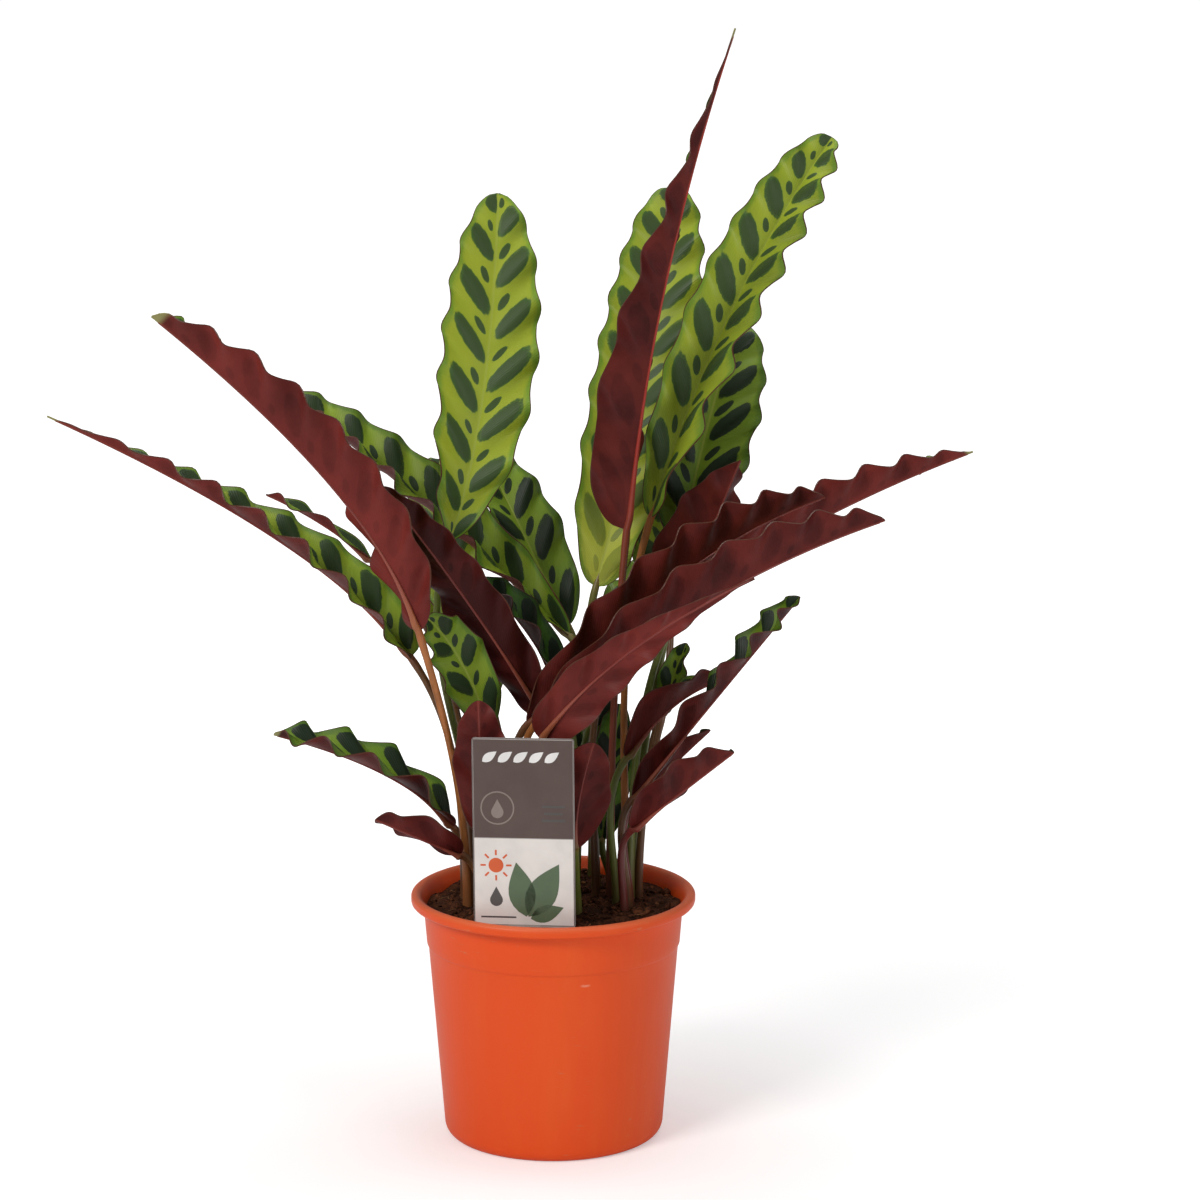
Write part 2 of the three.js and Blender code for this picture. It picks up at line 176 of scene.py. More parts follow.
def smoothBelow(degrees):
    bpy.ops.object.shade_smooth_by_angle(angle=math.radians(degrees))


view = {
    "eye": (0.023, -1.6, 0.56),
    "pitch": 10.37,  # degrees below the horizon
    "lens": 100.6,
    "sky": 0.26,
    "backdrop": 1.02,  # the white that the camera sees behind
}

softboxes = {  # place, aimed at, width, height, watts, tint
    "key": ((-1.15, -1.35, 1.35), (0, 0, 0.24), 0.7, 0.7, 21, (1.0, 0.98, 0.95)),
    "fill": ((1.4, -1.2, 0.7), (0, 0, 0.24), 0.8, 1.0, 6.5, (0.96, 0.98, 1.0)),
    "top": ((0.1, 0.25, 1.7), (0, 0, 0.2), 0.9, 0.9, 12, (1.0, 1.0, 1.0)),
}


def aim(thing, target):
    direction = Vector(target) - thing.location
    thing.rotation_euler = direction.to_track_quat("-Z", "Y").to_euler()


def setCamera():
    bpy.ops.object.camera_add(location=view["eye"])
    camera = bpy.context.object
    camera.rotation_euler = (math.radians(90 - view["pitch"]), 0, 0)
    camera.data.lens = view["lens"]
    camera.data.sensor_width = 36
    bpy.context.scene.camera = camera


def setLights():
    for name, (place, target, width, height, watts, tint) in softboxes.items():
        bpy.ops.object.light_add(type="AREA", location=place)
        lamp = bpy.context.object
        lamp.name = "softbox_" + name
        lamp.data.shape = "RECTANGLE"
        lamp.data.size = width
        lamp.data.size_y = height
        lamp.data.energy = watts
        lamp.data.color = tint
        aim(lamp, target)
    world = bpy.data.worlds.new("studio")
    world.use_nodes = True
    tree = world.node_tree
    sky = tree.nodes["Background"].inputs
    sky["Color"].default_value = (1, 1, 1, 1)
    seen = addNode(tree, "LightPath").outputs["Is Camera Ray"]
    feed(tree, sky["Strength"], scaled(tree, seen, view["backdrop"] - view["sky"], view["sky"]))
    bpy.context.scene.world = world
    bpy.context.scene.view_settings.view_transform = "Standard"


setCamera()
setLights()
print("camera and lights set")


floorBuild = {  # in metres
    "reach": 30,
    "paper": 0.86,
    "nearGlow": 0.36,  # added white, for the camera's rays alone
    "farGlow": 1.0,
    "fadeFrom": 0.25,
    "fadeTo": 1.1,
}


def makeFloor():
    pickOnly()
    bpy.ops.mesh.primitive_circle_add(vertices=96, radius=floorBuild["reach"], fill_type="NGON")
    floor = bpy.context.object
    floor.name = "studio_floor"
    material, tree, shader = newMaterial("paper_floor", 0.8, 0.1)
    white = floorBuild["paper"]
    shader["Base Color"].default_value = (white, white, white, 1)
    shader["Emission Color"].default_value = (1, 1, 1, 1)
    away = addNode(tree, "VectorMath", {0: objectPlace(tree)}, operation="LENGTH").outputs["Value"]
    glow = fade(tree, away, floorBuild["fadeFrom"], floorBuild["fadeTo"], floorBuild["nearGlow"],
                floorBuild["farGlow"])
    seen = addNode(tree, "LightPath").outputs["Is Camera Ray"]
    tree.links.new(times(tree, glow, seen), shader["Emission Strength"])
    floor.data.materials.append(material)


makeFloor()
print("floor laid")


def settle(piece, node):
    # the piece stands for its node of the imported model
    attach(piece, "root")
    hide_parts(node)


def turnedShell(name, profile, sides):
    # rings pulled up one from the next, each as a radius and a height in mm
    firstRadius, firstHeight = profile[0]
    pickOnly()
    bpy.ops.mesh.primitive_circle_add(vertices=sides, radius=firstRadius * mm,
                                      location=(0, 0, firstHeight * mm), fill_type="NGON")
    shell = bpy.context.object
    shell.name = shell.data.name = name
    fixPlace()
    switchTo("EDIT")
    bpy.ops.mesh.select_mode(type="EDGE")
    bpy.ops.mesh.select_all(action="SELECT")
    bpy.ops.mesh.region_to_loop()
    radius, height = firstRadius, firstHeight
    for nextRadius, nextHeight in profile[1:]:
        bpy.ops.mesh.extrude_edges_move(
            TRANSFORM_OT_translate={"value": (0, 0, (nextHeight - height) * mm)})
        share = nextRadius / radius
        bpy.ops.transform.resize(value=(share, share, 1), center_override=(0, 0, nextHeight * mm))
        radius, height = nextRadius, nextHeight
    bpy.ops.mesh.edge_face_add()
    bpy.ops.mesh.select_all(action="SELECT")
    bpy.ops.mesh.normals_make_consistent(inside=False)
    switchTo("OBJECT")
    return shell


potBuild = {  # in mm
    "height": 122,
    "rim": 70,
    "lip": 5.5,
    "bodyTop": 64,
    "shoulder": 96,
    "shoulderStep": 0.7,
    "bodyFoot": 54.3,
    "foot": 50,
    "footCorner": 6,
    "wall": 1.3,
    "floor": 2,
    "sides": 160,
    "drains": 8,
    "drainRadius": 4,
    "drainCircle": 38,
    "shoulderCorner": ((0.12, -0.1), (0.55, 0.35)),  # out and up from the shoulder
    "lipFoot": ((1.6, 0), (0.7, 0.25), (0.2, 0.8), (0, 1.5)),  # in from the rim, up from the lip's foot
    "lipRound": (2.4, 2),
    "lipInside": ((3.4, 0.25), (4.6, 1.2)),  # in from the rim, down from the top
}


def potRadius(height):
    build = potBuild
    rise = (height - build["footCorner"]) / (build["height"] - build["lip"] - build["footCorner"])
    taper = build["bodyFoot"] + (build["bodyTop"] - build["shoulderStep"] - build["bodyFoot"]) * rise
    return taper + build["shoulderStep"] if height > build["shoulder"] else taper


def potProfile():
    build = potBuild
    top, rim, lip = build["height"], build["rim"], build["height"] - build["lip"]
    shoulder = build["shoulder"]
    quarter = [math.pi / 2 * step / 8 for step in range(9)]
    profile = [(build["foot"] + (build["bodyFoot"] - build["foot"]) * math.sin(turn),
                build["footCorner"] * (1 - math.cos(turn))) for turn in quarter]
    for step in range(1, 10):
        height = build["footCorner"] + (shoulder - 0.6 - build["footCorner"]) * step / 9
        profile.append((potRadius(height), height))
    profile += [(potRadius(shoulder) + out, shoulder + up) for out, up in build["shoulderCorner"]]
    profile += [(potRadius(height), height) for height in (shoulder + 1, 100, 105, 110, lip - 1.2)]
    profile += [(build["bodyTop"] + 0.3, lip - 0.3), (build["bodyTop"] + 1, lip)]
    profile += [(rim - inward, lip + up) for inward, up in build["lipFoot"]]
    across, down = build["lipRound"]
    profile += [(rim - across + across * math.cos(turn), top - down + down * math.sin(turn))
                for turn in quarter]
    profile += [(rim - inward, top - fall) for inward, fall in build["lipInside"]]
    profile.append((build["bodyTop"] + 0.4, top - 3.2))
    for height in (lip - 1, 108, shoulder + 1, shoulder - 1, 60, 30, build["footCorner"]):
        profile.append((potRadius(height) - build["wall"], height))
    profile += [(build["foot"] + 1.5, build["floor"] + 0.9), (build["foot"] - 1, build["floor"])]
    return profile


def makePot():
    build = potBuild
    pot = turnedShell("dressed_pot", potProfile(), build["sides"])
    reach = build["drainCircle"] * mm
    for hole in range(build["drains"]):
        turn = (hole + 0.5) / build["drains"] * 2 * math.pi
        place = (reach * math.cos(turn), reach * math.sin(turn), build["floor"] / 2 * mm)
        pickOnly()
        bpy.ops.mesh.primitive_cylinder_add(vertices=32, radius=build["drainRadius"] * mm,
                                            depth=3 * build["floor"] * mm, location=place)
        drill = bpy.context.object
        pickOnly(pot)
        shapeWith(pot, "BOOLEAN", object=drill, operation="DIFFERENCE", solver="EXACT")
        bpy.data.objects.remove(drill)
    pot.data.materials.append(finishes["pot"])
    smoothBelow(35)
    settle(pot, "pot")


potColours = {
    "plastic": (236, 82, 22),
    "worn": (240, 101, 36),
    # the pale colour of the scuffs, also used for the painted highlight along the top of the rim
    "dustAndSheen": (214, 128, 90),
    "nick": (246, 176, 146),
}


def makePotSkin():
    material, tree, shader = newMaterial("pot_moulded_plastic", 0.42, 0.3)
    place = objectPlace(tree)
    cloud = grainNoise(tree, place, 18.0, 4.0)
    grain = grainNoise(tree, place, 900.0, 2.0)
    streak = grainNoise(tree, stretched(tree, (60, 60, 9)), 1.0, 4.0)
    look = blend(tree, fade(tree, streak, 0.45, 0.8, 0.0, 0.35), potColours["plastic"], potColours["worn"])
    scratch = grainNoise(tree, stretched(tree, (130, 130, 620), (0.3, 0.2, 0)), 1.0, 2.0)
    scuffed = times(tree, fade(tree, scratch, 0.66, 0.74), fade(tree, cloud, 0.52, 0.66))
    look = blend(tree, times(tree, scuffed, 0.6), look, potColours["dustAndSheen"])
    nickPlace = stretched(tree, (250, 125, 760), shift=(-4.1, 8, -69))
    away = addNode(tree, "VectorMath", {0: nickPlace}, operation="LENGTH")
    broken = fade(tree, grainNoise(tree, place, 400.0), 0.45, 0.55, 0.0, 0.7)
    nick = times(tree, fade(tree, away.outputs["Value"], 1.0, 0.5), broken)
    look = blend(tree, nick, look, potColours["nick"])
    # painted highlight: the top 3 mm of the rim is blended towards the pale scuff colour, standing in for
    # light falling on the lip
    height = addNode(tree, "SeparateXYZ", {0: place}).outputs["Z"]
    rimHighlight = fade(tree, height, (potBuild["height"] - 3) * mm, potBuild["height"] * mm, 0.0, 0.45)
    look = blend(tree, rimHighlight, look, potColours["dustAndSheen"])
    tree.links.new(look, shader["Base Color"])
    tree.links.new(scaled(tree, cloud, 0.22, 0.3), shader["Roughness"])
    unevenness = scaled(tree, cloud, 2.0, times(tree, grain, 0.25))
    addRelief(tree, shader, unevenness, 0.25 * mm, 0.5)
    return material


soilBuild = {  # in mm
    "level": 115,
    "roughness": 1.2,
    "gap": 0.3,
    "sides": 150,
    "rings": 34,
    "lumps": 1.1,
    "calmEdge": 3,
    "litterInset": 2.5,
    "fibreLength": 11,
    "fibreRadius": 0.28,
    "fibreSway": 1.3,
}

litterBuild = {  # shape, how many, smallest and largest size, finish, and how far it is lifted
    "crumbs": ("crumb", 900, 0.5, 1.9, "crumb", 0.2),
    "clods": ("clod", 75, 1.6, 3.2, "crumb", 0.1),
    "fibres": ("fibre", 46, 0.5, 1.1, "fibre", 0.9),
    "perlite": ("crumb", 16, 0.7, 1.4, "fibre", 0.4),
}


def soilHeight(x, y):
    swell = math.sin(x * 0.11 + 0.7) * math.cos(y * 0.13) + 0.5 * math.sin(x * 0.23 + y * 0.19)
    return soilBuild["level"] + soilBuild["roughness"] * swell


def lumpyHeight(x, y):
    # the same rise and fall, with lumps on it
    coarse = noise.noise(Vector((x * 0.16, y * 0.16, 3.1)))
    fine = noise.noise(Vector((x * 0.5, y * 0.5, 7.7)))
    return soilHeight(x, y) + soilBuild["lumps"] * (coarse + 0.6 * fine)


def makeSoilBody():
    build = soilBuild
    foot = potBuild["floor"] + build["gap"]
    profile = [(potBuild["foot"] - 1.5, foot)]
    for height in (potBuild["footCorner"], 40, potBuild["shoulder"] - 1, 107):
        profile.append((potRadius(height) - potBuild["wall"] - build["gap"], height))
    edge = potRadius(build["level"]) - potBuild["wall"] - build["gap"]
    profile += [(edge * (1 - step / build["rings"]), build["level"]) for step in range(build["rings"])]
    soil = turnedShell("dressed_soil", profile, build["sides"])
    for vertex in soil.data.vertices:
        x, y, z = (value / mm for value in vertex.co)
        if z > build["level"] - 1:
            calm = min(1, (edge - math.hypot(x, y)) / build["calmEdge"])
            vertex.co.z = (soilHeight(x, y) + (lumpyHeight(x, y) - soilHeight(x, y)) * calm) * mm
    return soil


def crumbShape(sides, squash):
    pickOnly()
    bpy.ops.mesh.primitive_ico_sphere_add(subdivisions=sides, radius=1 * mm)
    crumb = bpy.context.object
    for vertex in crumb.data.vertices:
        bump = 1 + 0.35 * noise.noise(vertex.co / mm * 1.7 + Vector((squash, 0, 0)))
        vertex.co = vertex.co * bump
        vertex.co.z *= squash
    return crumb


def scatter(draw, pattern, count, low, high, finish, lift):
    # copies of one shape lying on the soil, each with its own size and turn
    made = []
    edge = potRadius(soilBuild["level"]) - potBuild["wall"] - soilBuild["litterInset"]
    while len(made) < count:
        reach = edge * math.sqrt(draw.random())
        turn = draw.uniform(0, 2 * math.pi)
        x, y = reach * math.cos(turn), reach * math.sin(turn)
        size = low + (high - low) * draw.random() ** 2
        copy = pattern.copy()
        copy.data = pattern.data.copy()
        bpy.context.collection.objects.link(copy)
        copy.scale = (size, size * draw.uniform(0.6, 1), size * draw.uniform(0.6, 1))
        copy.rotation_euler = (draw.uniform(-0.5, 0.5), draw.uniform(-0.5, 0.5), draw.uniform(0, 6.28))
        copy.location = (x * mm, y * mm, (lumpyHeight(x, y) + lift * size) * mm)
        copy.data.materials.append(finish)
        made.append(copy)
    return made


def fibreShape():
    pickOnly()
    bpy.ops.mesh.primitive_cylinder_add(vertices=5, radius=soilBuild["fibreRadius"] * mm,
                                        depth=soilBuild["fibreLength"] * mm, rotation=(0, math.pi / 2, 0))
    fibre = bpy.context.object
    fixPlace()
    switchTo("EDIT")
    bpy.ops.mesh.select_all(action="DESELECT")
    switchTo("OBJECT")
    selectEdges(fibre, 0, 1 * mm)
    switchTo("EDIT")
    bpy.ops.mesh.select_mode(type="EDGE")
    bpy.ops.mesh.subdivide(number_cuts=5)
    switchTo("OBJECT")
    for vertex in fibre.data.vertices:
        vertex.co.y += soilBuild["fibreSway"] * mm * math.sin(vertex.co.x / mm * 0.45)
    return fibre


def makeSoil():
    draw = random.Random(11)
    soil = makeSoilBody()
    soil.data.materials.append(finishes["soil"])
    patterns = {"crumb": crumbShape(1, 0.7), "clod": crumbShape(2, 0.8), "fibre": fibreShape()}
    bits = []
    for shape, count, low, high, finish, lift in litterBuild.values():
        bits += scatter(draw, patterns[shape], count, low, high, finishes[finish], lift)
    for pattern in patterns.values():
        bpy.data.objects.remove(pattern)
    pickOnly(*bits)
    bpy.ops.object.join()
    litter = bpy.context.object
    fixPlace()
    litter.name = litter.data.name = "soil_litter"
    smoothBelow(60)
    pickOnly(soil)
    smoothBelow(60)
    settle(soil, "soil")
    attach(litter, "root")


soilColours = {
    "damp": (48, 27, 18),
    "dry": (104, 62, 40),
    "crumbDark": (46, 26, 17),
    "crumbLight": (118, 71, 46),
    "fibre": (158, 122, 84),
}


def makeSoilSkin(name, dark, light, scale):
    material, tree, shader = newMaterial(name, 0.95, 0.1)
    place = objectPlace(tree)
    coarse = grainNoise(tree, place, scale, 5.0, 0.7)
    fine = grainNoise(tree, place, scale * 6, 3.0, 0.7)
    share = scaled(tree, fine, 0.6, times(tree, coarse, 0.6))
    look = blend(tree, fade(tree, share, 0.5, 0.78), soilColours[dark], soilColours[light])
    tree.links.new(look, shader["Base Color"])
    addRelief(tree, shader, share, 1.6 * mm, 0.9)
    return material


labelBuild = {  # in mm and degrees
    "width": 49,
    "top": 209,
    "foot": 117,
    "thickness": 0.9,
    "stakeWidth": 16,
    "stakeTip": 76,
    "stakeTaper": 14,
    "stakeOverlap": 2,  # up inside the card's foot
    "stakeThickness": 0.96,  # of the card's
    "stakePoint": 0.06,  # of the stake's width
    "centre": (-13, -48),
    "lean": 1,
    "roll": 0.6,
    "turn": 7,  # the right side is nearer
    "corner": 1.2,
    "divide": 160.5,  # where the dark panel ends
    "ink": 0.12,
    "cardRoughness": 0.35,
    "inkRoughness": 0.4,
    "seal": (-12.5, 175, 8.2),  # across, up and radius
    "sealMiddle": (-12.5, 175, 7.5),
    "sealDrop": (-12.5, 173, 3.0),
    "sun": (-13.5, 147, 3.6),
    "drop": (-13.5, 130, 3.1),
    "rays": (6.2, 2.6, 0.9),  # the radius they stand on, length and height
    "bars": (14.5, 176, 11, 1.1),  # across, up, length and height
    "barStep": 3.4,
    "line": (-12.5, 121.6, 17, 0.8),
    "leaves": ((2, 122, 30, 1.05), (1, 122, 27, 1.75), (3, 121, 17, 0.35)),  # across, up, length, tilt
    "sprigs": (-19.5, -12, -4.5, 3, 10.5),
    "sprig": (197.5, 8.6, 0.62),
}

labelColours = {
    "edge": (176, 168, 164),
    "panel": (91, 74, 69),
    "paper": (236, 229, 224),
    "seal": (140, 126, 120),
    "white": (240, 238, 236),
    "leaf": (92, 112, 84),
    "orange": (222, 98, 50),
    "grey": (86, 82, 80),
}


def flatInk(name, points, height, finish):
    # a flat printed shape, standing a hair off the card's front; its points are across and up, in mm
    mesh = bpy.data.meshes.new(name)
    mesh.from_pydata([(x * mm, 0, y * mm) for x, y in points], [], [list(range(len(points)))])
    shape = bpy.data.objects.new(name, mesh)
    bpy.context.collection.objects.link(shape)
    pickOnly(shape)
    shapeWith(shape, "SOLIDIFY", thickness=height * mm, offset=0)
    shape.location.y = -(labelBuild["thickness"] / 2) * mm
    fixPlace()
    mesh.materials.append(finish)
    return shape


def moved(points, x, z, tilt):
    return [(x + a * math.cos(tilt) - b * math.sin(tilt), z + a * math.sin(tilt) + b * math.cos(tilt))
            for a, b in points]


def ringPoints(x, z, radius):
    turns = [2 * math.pi * step / 28 for step in range(28)]
    return [(x + radius * math.cos(turn), z + radius * math.sin(turn)) for turn in turns]


def barPoints(x, z, length, height, tilt=0.0):
    corners = [(a * length / 2, b * height / 2) for a, b in ((-1, -1), (1, -1), (1, 1), (-1, 1))]
    return moved(corners, x, z, tilt)


def dropPoints(x, z, radius):
    points = [(x, z + 2.1 * radius)]
    for step in range(15):
        turn = math.radians(35) - math.radians(250) * step / 14
        points.append((x + radius * math.cos(turn), z + radius * math.sin(turn)))
    return points


def sprigPoints(x, z, length, tilt):
    # one pointed leaf, up one side and down the other
    shares = [(1, step / 9) for step in range(9)] + [(-1, 1 - step / 9) for step in range(9)]
    outline = [(share * length, side * 0.24 * length * math.sin(math.pi * share ** 0.8))
               for side, share in shares]
    return moved(outline, x, z, tilt)


def addSlab(width, thickness, low, high):
    # an upright slab from one height to another
    bpy.ops.mesh.primitive_cube_add(size=1, location=(0, 0, (low + high) / 2 * mm),
                                    scale=(width * mm, thickness * mm, (high - low) * mm))
    fixPlace()
    return bpy.context.object


def makeCard():
    build = labelBuild
    pickOnly()
    card = addSlab(build["width"], build["thickness"], build["foot"], build["top"])
    card.name = card.data.name = "dressed_care_label"
    selectEdges(card, 1, 0.5 * build["thickness"] * mm)
    switchTo("EDIT")
    bpy.ops.mesh.select_mode(type="EDGE")
    bpy.ops.mesh.bevel(offset=build["corner"] * mm, segments=5)
    switchTo("OBJECT")
    stakeTop = build["foot"] + build["stakeOverlap"]
    stakeThickness = build["stakeThickness"] * build["thickness"]
    stake = addSlab(build["stakeWidth"], stakeThickness, build["stakeTip"], stakeTop)
    switchTo("EDIT")
    bpy.ops.mesh.select_all(action="SELECT")
    taperTop = (build["stakeTip"] + build["stakeTaper"]) * mm
    bpy.ops.mesh.bisect(plane_co=(0, 0, taperTop), plane_no=(0, 0, 1))
    switchTo("OBJECT")
    for vertex in stake.data.vertices:
        if vertex.co.z < taperTop - 1 * mm:
            vertex.co.x *= build["stakePoint"]
    card.data.materials.append(finishes["edge"])
    stake.data.materials.append(finishes["edge"])
    return [card, stake]


def makeLabel():
    build = labelBuild
    parts = makeCard()
    half = build["width"] / 2 - 0.7
    low, high, middle = build["foot"] + 1, build["top"] - 0.8, build["divide"]
    sunX, sunZ = build["sun"][:2]
    circle, rayLength, rayHeight = build["rays"]
    barX, barZ, barLength, barHeight = build["bars"]
    rays = [(sunX + circle * math.cos(turn), sunZ + circle * math.sin(turn), rayLength, rayHeight, turn)
            for turn in (math.pi / 4 * step for step in range(8))]
    bars = [(barX, barZ - build["barStep"] * row, barLength - 2 * (row % 2), barHeight) for row in range(3)]
    layers = [  # how far each stands out, its colour and its shapes
        (1, "panel", [[(-half, middle), (half, middle), (half, high), (-half, high)]]),
        (1, "paper", [[(-half, low), (half, low), (half, middle - 0.4), (-half, middle - 0.4)]]),
        (2, "white", [sprigPoints(x, *build["sprig"]) for x in build["sprigs"]]),
        (2, "seal", [ringPoints(*build["seal"])]),
        (2, "leaf", [sprigPoints(*leaf) for leaf in build["leaves"]]),
        (2, "orange", [ringPoints(*build["sun"])] + [barPoints(*ray) for ray in rays]),
        (2, "grey", [dropPoints(*build["drop"])] + [barPoints(*bar) for bar in bars + [build["line"]]]),
        (2.6, "panel", [ringPoints(*build["sealMiddle"])]),
        (3.2, "seal", [dropPoints(*build["sealDrop"])]),
    ]
    for height, look, shapes in layers:
        parts += [flatInk("print", points, height * build["ink"], finishes[look]) for points in shapes]
    pickOnly(*parts)
    bpy.ops.object.join()
    label = parts[0]
    stand = Matrix.Translation(Vector((*build["centre"], build["foot"])) * mm)
    for key, axis in (("turn", "Z"), ("lean", "X"), ("roll", "Y")):
        stand = stand @ Matrix.Rotation(-math.radians(build[key]), 4, axis)
    label.matrix_world = stand @ Matrix.Translation((0, 0, -build["foot"] * mm))
    fixPlace()
    settle(label, "care_label")


def makeCardSkin(name):
    # the bare card shows at its edges, and print covers the rest
    roughness = labelBuild["cardRoughness" if name == "edge" else "inkRoughness"]
    material, tree, shader = newMaterial("label_" + name, roughness, 0.5)
    place = objectPlace(tree)
    cloud = grainNoise(tree, place, 60.0, 3.0)
    fleck = grainNoise(tree, place, 1400.0, 2.0)
    tint = colour(labelColours[name])
    shaded = [value * 0.9 for value in tint[:3]] + [1.0]
    tree.links.new(blend(tree, fade(tree, cloud, 0.35, 0.7), tint, shaded), shader["Base Color"])
    addRelief(tree, shader, fleck, 0.05 * mm, 0.3)
    return material


# What a leaf has unless its row says otherwise. Its tone goes from sunlit 0 to shaded 1, and darkens its
# colours as painted shade.
leafUsual = dict(twist=0, ease=1, foldEase=1, shape=(0.6, 0.55), ripple=3.5, tone=0.6, pale=0, dry=0,
                 stalk="olive")

